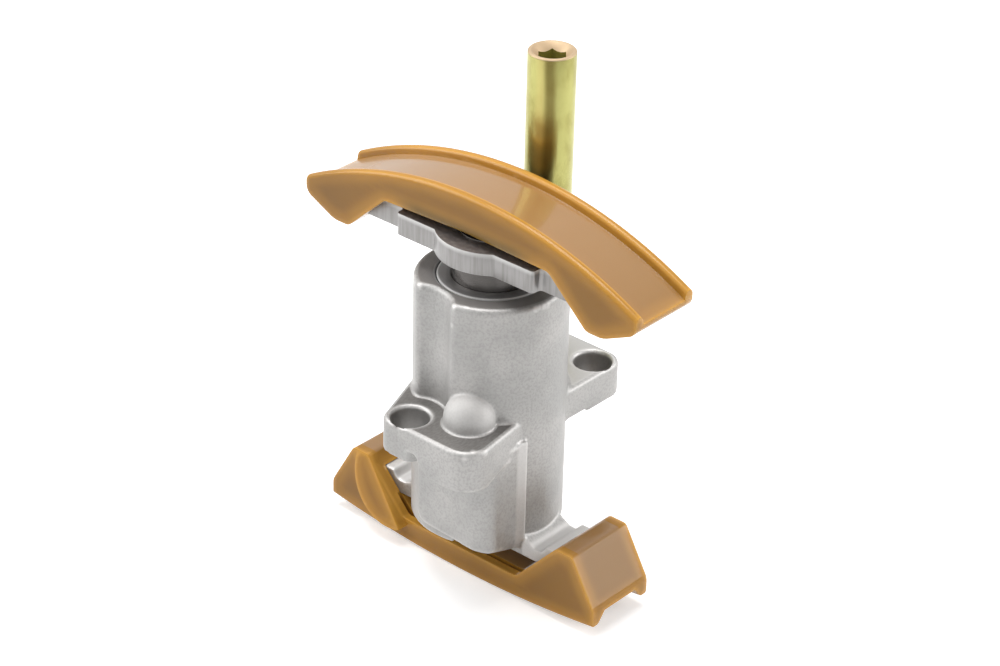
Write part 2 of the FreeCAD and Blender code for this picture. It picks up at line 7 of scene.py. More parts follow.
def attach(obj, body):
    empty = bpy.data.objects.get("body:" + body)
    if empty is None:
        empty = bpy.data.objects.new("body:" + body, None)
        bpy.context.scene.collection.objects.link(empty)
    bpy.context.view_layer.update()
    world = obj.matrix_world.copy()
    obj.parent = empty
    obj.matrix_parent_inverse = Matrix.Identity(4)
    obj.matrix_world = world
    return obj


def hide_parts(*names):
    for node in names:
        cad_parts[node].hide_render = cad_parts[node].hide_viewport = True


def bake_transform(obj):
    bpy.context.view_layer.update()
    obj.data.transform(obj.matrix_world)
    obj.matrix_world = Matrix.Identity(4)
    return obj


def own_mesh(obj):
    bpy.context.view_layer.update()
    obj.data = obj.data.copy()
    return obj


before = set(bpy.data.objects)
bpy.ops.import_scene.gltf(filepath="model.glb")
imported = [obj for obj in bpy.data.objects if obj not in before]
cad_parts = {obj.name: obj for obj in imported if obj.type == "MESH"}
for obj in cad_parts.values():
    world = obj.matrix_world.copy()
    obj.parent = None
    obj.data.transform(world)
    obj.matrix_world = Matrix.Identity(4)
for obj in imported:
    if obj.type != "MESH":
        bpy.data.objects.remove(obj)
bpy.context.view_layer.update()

print("stage: frame loaded")

# The pieces modelled here are made in millimetres about the plunger's axis, then settled into the frame in
# metres. axisShift is where that axis stands in the frame, in millimetres, and axisPoint the same in metres.
axisShift = (-2.525, -0.675, 0.0)
axisPoint = [value / 1000 for value in axisShift[:2]]
meshFacts = {"merge": 0.002, "cut": 0.0001, "reach": 0.05, "wideReach": 0.15, "beyond": 1.0, "spacing": 0.3,
             "along": 0.99, "square": 0.1}


# Mesh helpers

def clearSelection():
    bpy.ops.object.select_all(action="DESELECT")


def work(piece):
    clearSelection()
    piece.select_set(True)
    bpy.context.view_layer.objects.active = piece


def editAll(piece):
    work(piece)
    bpy.ops.object.mode_set(mode="EDIT")
    bpy.ops.mesh.select_all(action="SELECT")


def leaveEdit():
    bpy.ops.object.mode_set(mode="OBJECT")


def applyPlace():
    bpy.ops.object.transform_apply(location=True, rotation=True, scale=True)


def change(piece, kind, **settings):  # puts a modifier on the piece and applies it
    work(piece)
    modifier = piece.modifiers.new("step", kind)
    for key, value in settings.items():
        setattr(modifier, key, value)
    bpy.ops.object.modifier_apply(modifier=modifier.name)


def named(name):
    piece = bpy.context.object
    piece.name = name
    piece.data.name = name
    return piece


def span(half):
    return (-half, half)


def past(low, high):  # a cutting tool's ends, which stand past the ends of what it cuts
    return (low - meshFacts["beyond"], high + meshFacts["beyond"])


def addBox(name, x, y, z):  # each a (low, high) pair
    clearSelection()
    middle = [(low + high) / 2 for low, high in (x, y, z)]
    bpy.ops.mesh.primitive_cube_add(size=1, location=middle)
    piece = named(name)
    piece.scale = [high - low for low, high in (x, y, z)]
    applyPlace()
    return piece


def addDrum(name, radius, low, high, x=0.0, y=0.0, sides=96, topRadius=None, turn=0.0):
    clearSelection()
    place = (x, y, (low + high) / 2)
    top = radius if topRadius is None else topRadius
    bpy.ops.mesh.primitive_cone_add(vertices=sides, radius1=radius, radius2=top, depth=high - low,
                                    location=place, rotation=(0, 0, math.radians(turn)))
    piece = named(name)
    applyPlace()
    return piece


def addRoller(name, radius, halfWidth, place, sides):  # a drum that lies across the part
    clearSelection()
    bpy.ops.mesh.primitive_cylinder_add(vertices=sides, radius=radius, depth=2 * halfWidth,
                                        location=place, rotation=(math.pi / 2, 0, 0))
    piece = named(name)
    applyPlace()
    return piece


def addSector(name, inner, outer, halfInner, halfOuter, centreZ, facing, sweep, steps):
    # a flat ring's sector across the part, spun about the line at centreZ
    clearSelection()
    start = facing - sweep
    middle = (inner + outer) / 2
    place = (math.sin(start) * middle, 0, centreZ + math.cos(start) * middle)
    bpy.ops.mesh.primitive_plane_add(size=1, location=place, rotation=(0, start - math.pi / 2, 0))
    piece = named(name)
    piece.scale = (outer - inner, 2 * halfOuter, 1)
    applyPlace()
    editAll(piece)
    pickEdges(piece, lambda mid, way: across(way) and (mid.xz - Vector((0, centreZ))).length < middle)
    bpy.ops.transform.resize(value=(1, halfInner / halfOuter, 1), center_override=(0, 0, 0))
    bpy.ops.mesh.select_all(action="SELECT")
    bpy.ops.mesh.spin(steps=steps, angle=-2 * sweep, center=(0, 0, centreZ), axis=(0, 1, 0))
    bpy.ops.mesh.select_all(action="SELECT")
    bpy.ops.mesh.normals_make_consistent(inside=False)
    leaveEdit()
    return piece


def combine(piece, tool, how):
    change(piece, "BOOLEAN", operation=how, solver="EXACT", object=tool)
    bpy.data.objects.remove(tool)


def cutOff(piece, point, outward):  # takes away what lies on the outward side of a plane
    editAll(piece)
    bpy.ops.mesh.bisect(plane_co=point, plane_no=outward, use_fill=True, clear_outer=True,
                        threshold=meshFacts["cut"])
    leaveEdit()


def near(value, place, reach=meshFacts["reach"]):
    return abs(value - place) < reach


def upright(way):
    return abs(way.z) > meshFacts["along"]


def level(way):
    return abs(way.z) < meshFacts["square"]


def across(way):
    return abs(way.y) > meshFacts["along"]


def acrossAt(x, z):  # edges across the part at plus and minus x
    reach = meshFacts["wideReach"]
    return lambda mid, way: across(way) and near(abs(mid.x), x, reach) and near(mid.z, z, reach)


def pickEdges(piece, test):  # test takes the edge's middle and its direction
    bpy.ops.mesh.select_mode(type="EDGE")
    bpy.ops.mesh.select_all(action="DESELECT")
    mesh = bmesh.from_edit_mesh(piece.data)
    picked = 0
    for edge in mesh.edges:
        a, b = edge.verts[0].co, edge.verts[1].co
        if test((a + b) / 2, (b - a).normalized()):
            edge.select_set(True)
            picked += 1
    bmesh.update_edit_mesh(piece.data)
    return picked


def roundEdges(piece, rounding, test):  # rounding is a (width, steps) pair
    width, steps = rounding
    editAll(piece)
    picked = pickEdges(piece, test)
    if picked:
        bpy.ops.mesh.bevel(offset=width, segments=steps, profile=0.5, affect="EDGES", clamp_overlap=True)
    leaveEdit()
    print("  rounded", piece.name, picked)


def tidyMesh(piece):
    editAll(piece)
    bpy.ops.mesh.remove_doubles(threshold=meshFacts["merge"])
    bpy.ops.mesh.normals_make_consistent(inside=False)
    leaveEdit()


def soften(piece, width, angle):  # rounds every edge that turns by more than the angle
    change(piece, "BEVEL", width=width, segments=2, limit_method="ANGLE",
           angle_limit=math.radians(angle), miter_outer="MITER_ARC")


def sharpPoints(piece, angle):  # points along the outward edges that turn by more than the angle
    mesh = bmesh.new()
    mesh.from_mesh(piece.data)
    points = []
    for edge in mesh.edges:
        if len(edge.link_faces) != 2 or not edge.is_convex or edge.calc_face_angle(0) < math.radians(angle):
            continue
        a, b = edge.verts[0].co, edge.verts[1].co
        count = max(1, int((b - a).length / meshFacts["spacing"]))
        points += [a.lerp(b, (i + 0.5) / count) for i in range(count)]
    mesh.free()
    return points


def markEdges(piece, points, reach):  # stores 1 on those edges, fading to 0 at the reach
    tree = kdtree.KDTree(len(points))
    for i, point in enumerate(points):
        tree.insert(point, i)
    tree.balance()
    values = [max(0.0, 1 - tree.find(vert.co)[2] / reach) for vert in piece.data.vertices]
    layer = piece.data.attributes.new("nearEdge", "FLOAT", "POINT")
    layer.data.foreach_set("value", values)


def grid(piece, step):  # adds vertices over the flat faces, so that the mark can fade across them
    editAll(piece)
    for axis in range(3):
        spread = [vert.co[axis] for vert in piece.data.vertices]
        way = [float(axis == i) for i in range(3)]
        count = int((max(spread) - min(spread)) / step)
        for i in range(1, count):
            place = [value * (min(spread) + i * step) for value in way]
            bpy.ops.mesh.select_all(action="SELECT")
            bpy.ops.mesh.bisect(plane_co=place, plane_no=way, threshold=meshFacts["cut"])
    leaveEdit()


def copyOf(node, name):  # the node's own mesh, merged
    work(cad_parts[node])
    bpy.ops.object.duplicate()
    piece = named(name)
    for key in list(piece.keys()):
        if key.startswith("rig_"):
            del piece[key]
    piece.parent = None
    piece.scale = (1000, 1000, 1000)
    piece.location = [-value for value in axisShift]
    applyPlace()
    tidyMesh(piece)
    return piece


def settle(piece, finish, body, *nodes, angle=35):  # a piece that blends between bodies has no body here
    work(piece)
    piece.scale = (0.001, 0.001, 0.001)
    piece.location = [value / 1000 for value in axisShift]
    applyPlace()
    bpy.ops.object.shade_smooth_by_angle(angle=math.radians(angle))
    piece.data.materials.clear()
    piece.data.materials.append(finish)
    if body:
        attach(piece, body)
    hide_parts(*nodes)
    print("  settled", piece.name, len(piece.data.polygons))
    return piece


# Shader helpers

softEdge = (0.97, 1.03)


def paint(red, green, blue):  # screen colour 0 to 255 to what Blender mixes with
    def linear(value):
        value /= 255
        return value / 12.92 if value <= 0.04045 else ((value + 0.055) / 1.055) ** 2.4
    return (linear(red), linear(green), linear(blue), 1.0)


class Wire:
    def __init__(self, recipe, socket):
        self.recipe = recipe
        self.socket = socket

    def sum(self, how, first, second=0.0):
        return self.recipe.put("ShaderNodeMath", {"operation": how}, {0: first, 1: second})

    def larger(self, other):
        return self.sum("MAXIMUM", self, other)

    def __add__(self, other):
        return self.sum("ADD", self, other)

    def __sub__(self, other):
        return self.sum("SUBTRACT", self, other)

    def __rsub__(self, other):
        return self.sum("SUBTRACT", other, self)

    def __mul__(self, other):
        return self.sum("MULTIPLY", self, other)

    __rmul__ = __mul__

    def __truediv__(self, other):
        return self.sum("DIVIDE", self, other)

    def __abs__(self):
        return self.sum("ABSOLUTE", self)


class Tree:
    def __init__(self, tree):
        self.tree = tree

    def node(self, kind, settings=None, sockets=None):
        made = self.tree.nodes.new(kind)
        for key, value in (settings or {}).items():
            setattr(made, key, value)
        for key, value in (sockets or {}).items():
            if isinstance(value, Wire):
                self.tree.links.new(value.socket, made.inputs[key])
            else:
                made.inputs[key].default_value = value
        return made

    def put(self, kind, settings=None, sockets=None, output=0):
        return Wire(self, self.node(kind, settings, sockets).outputs[output])


class Recipe(Tree):
    def __init__(self, name):
        self.material = bpy.data.materials.new(name)
        self.material.use_nodes = True
        super().__init__(self.material.node_tree)
        self.shader = self.tree.nodes["Principled BSDF"]
        self.place = self.put("ShaderNodeTexCoord", output="Object")
        parts = self.node("ShaderNodeSeparateXYZ", {}, {0: self.place})
        self.x, self.y, self.z = [Wire(self, parts.outputs[i]) for i in range(3)]
        normal = self.put("ShaderNodeNewGeometry", output="Normal")
        facing = self.node("ShaderNodeSeparateXYZ", {}, {0: normal})
        self.faceY, self.faceZ = [Wire(self, facing.outputs[i]) for i in (1, 2)]

    def noise(self, scale, detail, rough, stretch=None):
        where = self.place
        if stretch:
            where = self.put("ShaderNodeMapping", {}, {"Vector": self.place, "Scale": stretch})
        return self.put("ShaderNodeTexNoise", {}, {"Vector": where, "Scale": scale,
                                                   "Detail": detail, "Roughness": rough})

    def ramp(self, value, low, high):  # 0 below low, 1 above high, smooth between
        return self.put("ShaderNodeMapRange", {"interpolation_type": "SMOOTHSTEP"},
                        {"Value": value, "From Min": low, "From Max": high})

    def band(self, value, low, full, fade, high):  # 1 from full to fade, 0 below low and above high
        return self.ramp(value, low, full) * (1 - self.ramp(value, fade, high))

    def within(self, square, radius):  # 1 where a squared distance is inside the radius, with a soft edge
        low, high = [(radius * share) ** 2 for share in softEdge]
        return 1 - self.ramp(square, low, high)

    def inside(self, x, y, radius):  # 1 inside an upright cylinder
        return self.within((self.x - x) * (self.x - x) + (self.y - y) * (self.y - y), radius)

    def edges(self):  # what markEdges stored
        return self.put("ShaderNodeAttribute", {"attribute_name": "nearEdge"}, output="Fac")

    def mix(self, mask, first, second):  # first and second are wires or screen colours
        first, second = [value if isinstance(value, Wire) else paint(*value) for value in (first, second)]
        return self.put("ShaderNodeMix", {"data_type": "RGBA"}, {0: mask, 6: first, 7: second}, output=2)

    def bump(self, height, strength, distance):
        return self.put("ShaderNodeBump", {}, {"Height": height, "Strength": strength, "Distance": distance})

    def set(self, **values):
        names = {"colour": "Base Color", "rough": "Roughness", "metal": "Metallic", "coat": "Coat Weight",
                 "coatRough": "Coat Roughness", "normal": "Normal", "specular": "Specular IOR Level",
                 "subsurface": "Subsurface Weight", "subScale": "Subsurface Scale",
                 "subRadius": "Subsurface Radius"}
        for key, value in values.items():
            socket = self.shader.inputs[names[key]]
            if isinstance(value, Wire):
                self.tree.links.new(value.socket, socket)
            else:
                socket.default_value = value
        return self.material


# Finishes. Places, heights and radii are in metres, and colours are as seen on a screen. A noise is its
# scale, detail and roughness, and its stretch if it has one. A fade is the values that a ramp or a band runs
# between. A bump is its strength and depth. The other numbers say how much of a colour or a noise is mixed
# in, or how much is added to the shader's roughness, metal or coat.

# the edge colour is the colour of the edges' wear and of the painted highlights and reflection
castLook = {
    "grey": (161, 160, 158), "pale": (175, 173, 171), "dark": (127, 126, 124), "edge": (217, 215, 213),
    "machined": (104, 101, 98), "machinedDark": (140, 136, 133), "bore": (126, 123, 120), "gapShade": (16, 15, 15),
    "grain": (2300.0, 3.0, 0.6), "coarse": (690.0, 2.0, 0.5), "blotch": (120.0, 2.0, 0.5),
    "scratch": (2600.0, 2.0, 0.5, (1.0, 0.4, 1.0)), "blotchFade": (0.3, 0.7), "speckFade": (0.6, 0.34),
    "scratchFade": (0.3, 0.7), "speck": 0.4, "scratched": 0.2,
    "flatFade": (0.95, 0.995), "earTop": 0.0065, "barrelTop": 0.0287, "levelFade": (0.0002, 0.0005),
    "frontY": (-0.004, 0.004), "earDark": 0.3, "earFrontDark": 0.6, "earBackSheen": 0.45, "topDark": 0.9,
    "dome": (0.003575, -0.012775), "domeR": 0.00456, "domeZ": 0.0077, "domeFoot": (0.0066, 0.0072),
    "domeHighlight": 0.42, "domeRough": 0.22, "domeMetal": 0.2,
    "lipX": (0.014, 0.015), "lipUp": (0.2, 0.6), "lipZ": (-0.0168, -0.0160), "lipHighlight": 0.7,
    "wearHighlightFade": (0.35, 0.9), "wearHighlightGrain": 0.7, "wearHighlightLeast": 0.4, "wearHighlight": 0.5,
    "lobeX": (0.0096, 0.0101), "lobeZ": (-0.0150, -0.0120, 0.0010, 0.0035), "lobeCalm": 0.85,
    "ribX": (0.0102, 0.0104), "ribY": (-0.0080, -0.0077, -0.0056, -0.0054), "ribZ": (0.0022, 0.0026),
    "ribHighlight": 0.45, "hole": (0.005275, 0.018025), "holeR": 0.0036, "holeZ": (0.0001, 0.0004, 0.0058, 0.0063),
    "holeDark": 0.7, "gapR": 0.00984, "gapZ": (0.0272, 0.0278),
    "bumpGrain": 0.65, "bumpCoarse": 0.35, "machinedSmooth": 0.85, "bump": (0.45, 0.00012),
    "rough": 0.42, "roughFade": (0.3, 0.7), "roughGrain": 0.12, "metal": 0.6,
}


def castAlloy():
    look = castLook
    r = Recipe("castAlloy")
    grain = r.noise(*look["grain"])
    coarse = r.noise(*look["coarse"])
    blotch = r.noise(*look["blotch"])
    scratch = r.noise(*look["scratch"])
    base = r.mix(r.ramp(blotch, *look["blotchFade"]), look["grey"], look["pale"])
    base = r.mix(r.ramp(grain, *look["speckFade"]) * look["speck"], base, look["dark"])

    # the machined tops of the ears, with a painted reflection that makes the back ear's top paler
    flatUp = r.ramp(r.faceZ, *look["flatFade"])
    onEar = flatUp * (1 - r.ramp(abs(r.z - look["earTop"]), *look["levelFade"]))
    scratched = r.ramp(scratch, *look["scratchFade"]) * look["scratched"]
    machined = r.mix(scratched, look["machined"], look["grey"])
    front = 1 - r.ramp(r.y, *look["frontY"])
    base = r.mix(onEar * (front * look["earFrontDark"] + look["earDark"]), base, machined)
    base = r.mix(onEar * (1 - front) * look["earBackSheen"], base, look["edge"])

    # painted highlights on the dome and the base's lips, and the barrel's top
    rise = (r.z - look["domeZ"]).larger(0.0)
    x, y = r.x - look["dome"][0], r.y - look["dome"][1]
    onDome = r.within(x * x + y * y + rise * rise, look["domeR"]) * r.ramp(r.z, *look["domeFoot"])
    base = r.mix(onDome * look["domeHighlight"], base, look["edge"])
    onLip = r.ramp(abs(r.x - axisPoint[0]), *look["lipX"]) * r.ramp(r.faceZ, *look["lipUp"])
    base = r.mix(onLip * (1 - r.ramp(r.z, *look["lipZ"])) * look["lipHighlight"], base, look["edge"])
    onTop = flatUp * (1 - r.ramp(abs(r.z - look["barrelTop"]), *look["levelFade"]))
    base = r.mix(onTop * look["topDark"], base, look["machinedDark"])

    # lighter along the edges, partly wear and partly a painted highlight, calmer where the lobe meets the
    # leg, and the rib
    calm = r.band(r.z, *look["lobeZ"]) * (1 - r.ramp(r.x, *look["lobeX"]))
    bright = r.ramp(r.edges(), *look["wearHighlightFade"]) * (grain * look["wearHighlightGrain"] + look["wearHighlightLeast"])
    bright = bright * (1 - onTop) * (1 - calm * look["lobeCalm"])
    base = r.mix(bright * look["wearHighlight"], base, look["edge"])
    # a painted highlight on the rib
    onRib = r.ramp(r.x, *look["ribX"]) * r.band(r.y, *look["ribY"]) * (1 - r.ramp(r.z, *look["ribZ"]))
    base = r.mix(onRib * look["ribHighlight"], base, look["edge"])

    # the bolt holes, and painted shade between the liner and the casting
    x, y = look["hole"]
    bores = (r.inside(-x, -y, look["holeR"]) + r.inside(x, y, look["holeR"])) * r.band(r.z, *look["holeZ"])
    base = r.mix(bores * look["holeDark"], base, look["bore"])
    gapShade = r.inside(*axisPoint, look["gapR"]) * r.ramp(r.z, *look["gapZ"])
    base = r.mix(gapShade, base, look["gapShade"])

    height = grain * look["bumpGrain"] + coarse * look["bumpCoarse"]
    normal = r.bump(height * (1 - onEar * look["machinedSmooth"]), *look["bump"])
    rough = r.ramp(grain, *look["roughFade"]) * look["roughGrain"] + look["rough"]
    return r.set(colour=base, rough=rough + onDome * look["domeRough"],
                 metal=look["metal"] - onDome * look["domeMetal"], normal=normal)


steelLook = {
    "scratch": (700.0, 2.0, 0.5, (0.15, 0.15, 2.0)), "haze": (260.0, 2.0, 0.5), "scratchFade": (0.3, 0.7),
    "hazeFade": (0.45, 0.75), "hazed": 0.3, "roughHaze": 0.12, "glint": (240, 239, 237),
    "rimZ": (0.0281, 0.0285), "bump": (0.05, 0.00003),
}
steelKinds = {  # a rim is the radius beyond which the liner's chamfer glints
    "linerSteel": {"pale": (150, 148, 147), "dark": (122, 120, 118), "rough": 0.32, "rings": 0.35,
                   "metal": 0.5, "rim": 0.00934},
    "plungerSteel": {"pale": (92, 89, 87), "dark": (66, 64, 62), "rough": 0.16, "rings": 0.15, "metal": 0.9},
    "drawnWire": {"pale": (150, 150, 150), "dark": (96, 95, 94), "rough": 0.25, "rings": 0.35, "metal": 0.9},
}


def turnedSteel(name):
    look, kind = steelLook, steelKinds[name]
    r = Recipe(name)
    marks = r.noise(*look["scratch"])
    haze = r.noise(*look["haze"])
    colour = r.mix(r.ramp(marks, *look["scratchFade"]) * kind["rings"], kind["pale"], kind["dark"])
    colour = r.mix(r.ramp(haze, *look["hazeFade"]) * look["hazed"], colour, kind["dark"])
    metal = kind["metal"]
    if "rim" in kind:
        glint = (1 - r.inside(*axisPoint, kind["rim"])) * r.ramp(r.z, *look["rimZ"])
        colour = r.mix(glint, colour, look["glint"])
        metal = metal * (1 - glint)
    normal = r.bump(marks, *look["bump"])
    return r.set(colour=colour, rough=haze * look["roughHaze"] + kind["rough"], metal=metal, normal=normal)


plateLook = {
    "edge": (148, 146, 145), "edgeDark": (132, 130, 128), "top": (92, 86, 84), "topPale": (110, 104, 100),
    "glint": (206, 205, 203), "streak": (1900.0, 3.0, 0.6, (1.0, 1.0, 0.05)), "grain": (1100.0, 3.0, 0.6),
    "streakFade": (0.35, 0.72), "grainFade": (0.4, 0.7), "upward": (0.8, 0.98),
    "corner": (0.1, 0.2, 0.9, 0.98), "bumpTop": 0.3, "bump": (0.12, 0.00004),
    "metal": 0.8, "metalTop": 0.5, "rough": 0.33, "roughGrain": 0.12,
}


def stampedSteel():
    look = plateLook
    r = Recipe("stampedSteel")
    streak = r.noise(*look["streak"])
    grain = r.noise(*look["grain"])
    side = r.mix(r.ramp(streak, *look["streakFade"]), look["edge"], look["edgeDark"])
    # the top face takes darker colours than the sides: painted shade from the upper shoe just above it
    top = r.mix(r.ramp(grain, *look["grainFade"]), look["top"], look["topPale"])
    upward = r.ramp(abs(r.faceZ), *look["upward"])
    corner = r.band(r.faceZ, *look["corner"])
    colour = r.mix(corner, r.mix(upward, side, top), look["glint"])
    normal = r.bump(streak * (1 - upward) + grain * upward * look["bumpTop"], *look["bump"])
    metal = (1 - corner) * (look["metal"] - upward * look["metalTop"])
    return r.set(colour=colour, rough=grain * look["roughGrain"] + look["rough"], metal=metal, normal=normal)


# side points to the camera's right, and tanAt, brownAt and sway are in radii of the pillar
zincLook = {
    "light": (176, 173, 106), "mid": (150, 142, 78), "green": (128, 122, 60), "rose": (182, 156, 128),
    "brown": (104, 88, 36), "tan": (204, 190, 118), "cloud": (330.0, 3.0, 0.55, (1.0, 1.0, 0.6)),
    "drift": (110.0, 2.0, 0.5, (1.0, 1.0, 0.4)), "fine": (2200.0, 3.0, 0.6, (1.0, 1.0, 0.4)),
    "cloudFade": (0.4, 0.75), "clouded": 0.7, "driftFade": (0.5, 0.7), "drifted": 0.5,
    "fineFade": (0.55, 0.75), "specked": 0.35,
    "centre": (-0.005275, 0.016675), "radius": 0.00425, "side": (0.758, 0.652), "front": (0.0, 0.001),
    "sway": 0.35, "tanAt": -0.42, "tanFade": (0.06, 0.30), "tanHighlight": 0.5,
    "brownAt": -0.06, "brownFade": (0.06, 0.34), "brownShade": 0.7,
    "brimZ": (0.0615, 0.0622), "brimUp": (0.1, 0.4), "brimRose": 0.9,
    "bumpFine": 0.6, "bumpCloud": 0.4, "bump": (0.12, 0.00006),
    "rough": 0.18, "roughCloud": 0.12, "roughBrim": 0.25, "metal": 0.78, "metalBrim": 0.28,
}


def yellowZinc():
    look = zincLook
    r = Recipe("yellowZinc")
    cloud = r.noise(*look["cloud"])
    drift = r.noise(*look["drift"])
    fine = r.noise(*look["fine"])
    colour = r.mix(r.ramp(cloud, *look["cloudFade"]) * look["clouded"], look["light"], look["mid"])
    colour = r.mix(r.ramp(drift, *look["driftFade"]) * look["drifted"], colour, look["green"])
    colour = r.mix(r.ramp(fine, *look["fineFade"]) * look["specked"], colour, look["green"])

    # painted highlight in the tan band and painted shade in the brown band, which run along the side towards
    # the camera
    x, y = r.x - look["centre"][0], r.y - look["centre"][1]
    sideX, sideY = look["side"]
    front = r.ramp(x * sideY - y * sideX, *look["front"])
    swayed = (x * sideX + y * sideY) / look["radius"] + (drift - 0.5) * look["sway"]
    tan = 1 - r.ramp(abs(swayed - look["tanAt"]), *look["tanFade"])
    colour = r.mix(tan * front * look["tanHighlight"], colour, look["tan"])
    brown = 1 - r.ramp(abs(swayed - look["brownAt"]), *look["brownFade"])
    colour = r.mix(brown * front * look["brownShade"], colour, look["brown"])

    brim = r.ramp(r.z, *look["brimZ"]) * r.ramp(r.faceZ, *look["brimUp"])
    colour = r.mix(brim * look["brimRose"], colour, look["rose"])
    normal = r.bump(fine * look["bumpFine"] + cloud * look["bumpCloud"], *look["bump"])
    return r.set(colour=colour, rough=cloud * look["roughCloud"] + look["rough"] + brim * look["roughBrim"],
                 metal=look["metal"] - brim * look["metalBrim"], normal=normal)


shoeLook = {
    "deep": (140, 99, 37), "base": (170, 121, 46), "bright": (210, 156, 66), "runSheen": (156, 119, 78),
    "olive": (96, 78, 34), "shade": (112, 80, 34), "flow": (55.0, 3.0, 0.5), "fine": (500.0, 2.0, 0.5),
    "deepFade": (0.0, 0.8), "deepFlow": 0.6, "brightFade": (0.7, 1.0), "brightUp": 0.2, "brightLeast": 0.6,
    "runY": (0.0054, 0.0060), "runUp": (0.75, 0.95), "sheenFlow": 0.4, "sheenLeast": 0.5,
    "leftX": (-0.0370, -0.0240), "shaded": 0.4, "shadeRunning": 0.6,
    "thinZ": (0.0360, 0.0375, 0.0395, 0.0415), "thinSide": (0.5, 0.9), "thinX": (0.0100, 0.0170),
    "thinOlive": 0.75, "coat": 0.6, "coatLeast": 0.04, "coatDull": 0.85,
    "rough": 0.16, "roughFine": 0.06, "roughDull": 0.2, "bump": (0.02, 0.00004),
    "fixed": {"metal": 0.0, "specular": 0.25, "coatRough": 0.03, "subsurface": 0.08, "subScale": 0.002,
              "subRadius": (1.0, 0.5, 0.2)},
}


def caramelPlastic():
    look = shoeLook
    r = Recipe("caramelPlastic")
    flow = r.noise(*look["flow"])
    fine = r.noise(*look["fine"])
    edges = r.edges()
    # painted glow of light through the translucent plastic: lighter near the edges, more so on faces turned
    # up, and darker away from them
    thick = r.ramp(edges + (flow - 0.5) * look["deepFlow"], *look["deepFade"])
    colour = r.mix(thick, look["deep"], look["base"])
    bright = r.ramp(edges, *look["brightFade"]) * (r.faceZ * look["brightUp"] + look["brightLeast"])
    colour = r.mix(bright, colour, look["bright"])

    # the glossy running face with a painted reflection that lightens its colour, duller at its left end
    between = 1 - r.ramp(abs(r.y - axisPoint[1]), *look["runY"])
    running = r.ramp(abs(r.faceZ) * between, *look["runUp"])
    colour = r.mix(running * (flow * look["sheenFlow"] + look["sheenLeast"]), colour, look["runSheen"])
    # painted shade over the left end, less of it on the running face
    leftEnd = 1 - r.ramp(r.x, *look["leftX"])
    colour = r.mix(leftEnd * (1 - running * look["shadeRunning"]) * look["shaded"], colour, look["shade"])
    dull = leftEnd * running

    # painted shade on the thin middle of the upper shoe's sides, where the dark plate shows through
    thin = r.band(r.z, *look["thinZ"]) * r.ramp(abs(r.faceY), *look["thinSide"])
    middle = 1 - r.ramp(abs(r.x - axisPoint[0]), *look["thinX"])
    colour = r.mix(thin * middle * look["thinOlive"], colour, look["olive"])

    coat = running * (1 - dull * look["coatDull"]) * look["coat"] + look["coatLeast"]
    rough = fine * look["roughFine"] + look["rough"] + dull * look["roughDull"]
    return r.set(colour=colour, rough=rough, coat=coat, normal=r.bump(fine, *look["bump"]), **look["fixed"])


plainLooks = {
    "sealRubber": {"noise": (500.0, 3.0, 0.6), "fade": (0.4, 0.7), "one": (28, 28, 28), "other": (52, 50, 48),
                   "rough": 0.55, "roughNoise": 0.2, "bump": (0.1, 0.0001)},
    "insertPlastic": {"noise": (220.0, 2.0, 0.5), "fade": (0.35, 0.7), "one": (224, 218, 198),
                      "other": (204, 196, 174), "rough": 0.42, "roughNoise": 0.12, "bump": (0.05, 0.0001)},
}


def plainFinish(name):
    look = plainLooks[name]
    r = Recipe(name)
    noise = r.noise(*look["noise"])
    colour = r.mix(r.ramp(noise, *look["fade"]), look["one"], look["other"])
    return r.set(colour=colour, rough=noise * look["roughNoise"] + look["rough"],
                 normal=r.bump(noise, *look["bump"]))


cast = castAlloy()
linerSteel = turnedSteel("linerSteel")
plungerSteel = turnedSteel("plungerSteel")
plateSteel = stampedSteel()
zinc = yellowZinc()
caramel = caramelPlastic()
wire = turnedSteel("drawnWire")
rubber = plainFinish("sealRubber")
insert = plainFinish("insertPlastic")
print("stage: finishes made")


# Housing: the casting's copy is blended all over, as a die-cast skin is

housingSize = {"voxel": 0.25, "ease": 0.5, "smooths": 5, "faces": 180000, "turn": 13, "reach": 1.2,
               "smooth": 60}


def makeHousing():
    size = housingSize
    piece = copyOf("housing", "housingCast")
    points = sharpPoints(piece, size["turn"])
    change(piece, "REMESH", mode="VOXEL", voxel_size=size["voxel"])
    change(piece, "SMOOTH", factor=size["ease"], iterations=size["smooths"])
    change(piece, "DECIMATE", ratio=min(1.0, size["faces"] / (2 * len(piece.data.polygons))))
    markEdges(piece, points, size["reach"])
    settle(piece, cast, "block", "housing", angle=size["smooth"])


makeHousing()
print("stage: housing")


# Liner and plunger

sleeveSize = {"radius": 9.5, "bore": 7.07, "low": -11.0, "top": 28.7, "chamfer": (0.17, 2), "sides": 160}


def makeLiner():
    size = sleeveSize
    low, top, sides = size["low"], size["top"], size["sides"]
    piece = addDrum("linerSleeve", size["radius"], low, top, sides=sides)
    combine(piece, addDrum("bore", size["bore"], *past(low, top), sides=sides), "DIFFERENCE")
    roundEdges(piece, size["chamfer"], lambda mid, way: level(way) and near(mid.z, top))
    settle(piece, linerSteel, "block", "liner")


plungerSize = {"radius": 7.03, "low": -5.6, "top": 33.4, "spigot": 6.0, "spigotTop": 37.75, "bore": 5.4,
               "crown": 29.0, "vent": 0.6, "edge": (0.25, 2), "sides": 128, "boreSides": 64, "ventSides": 24}


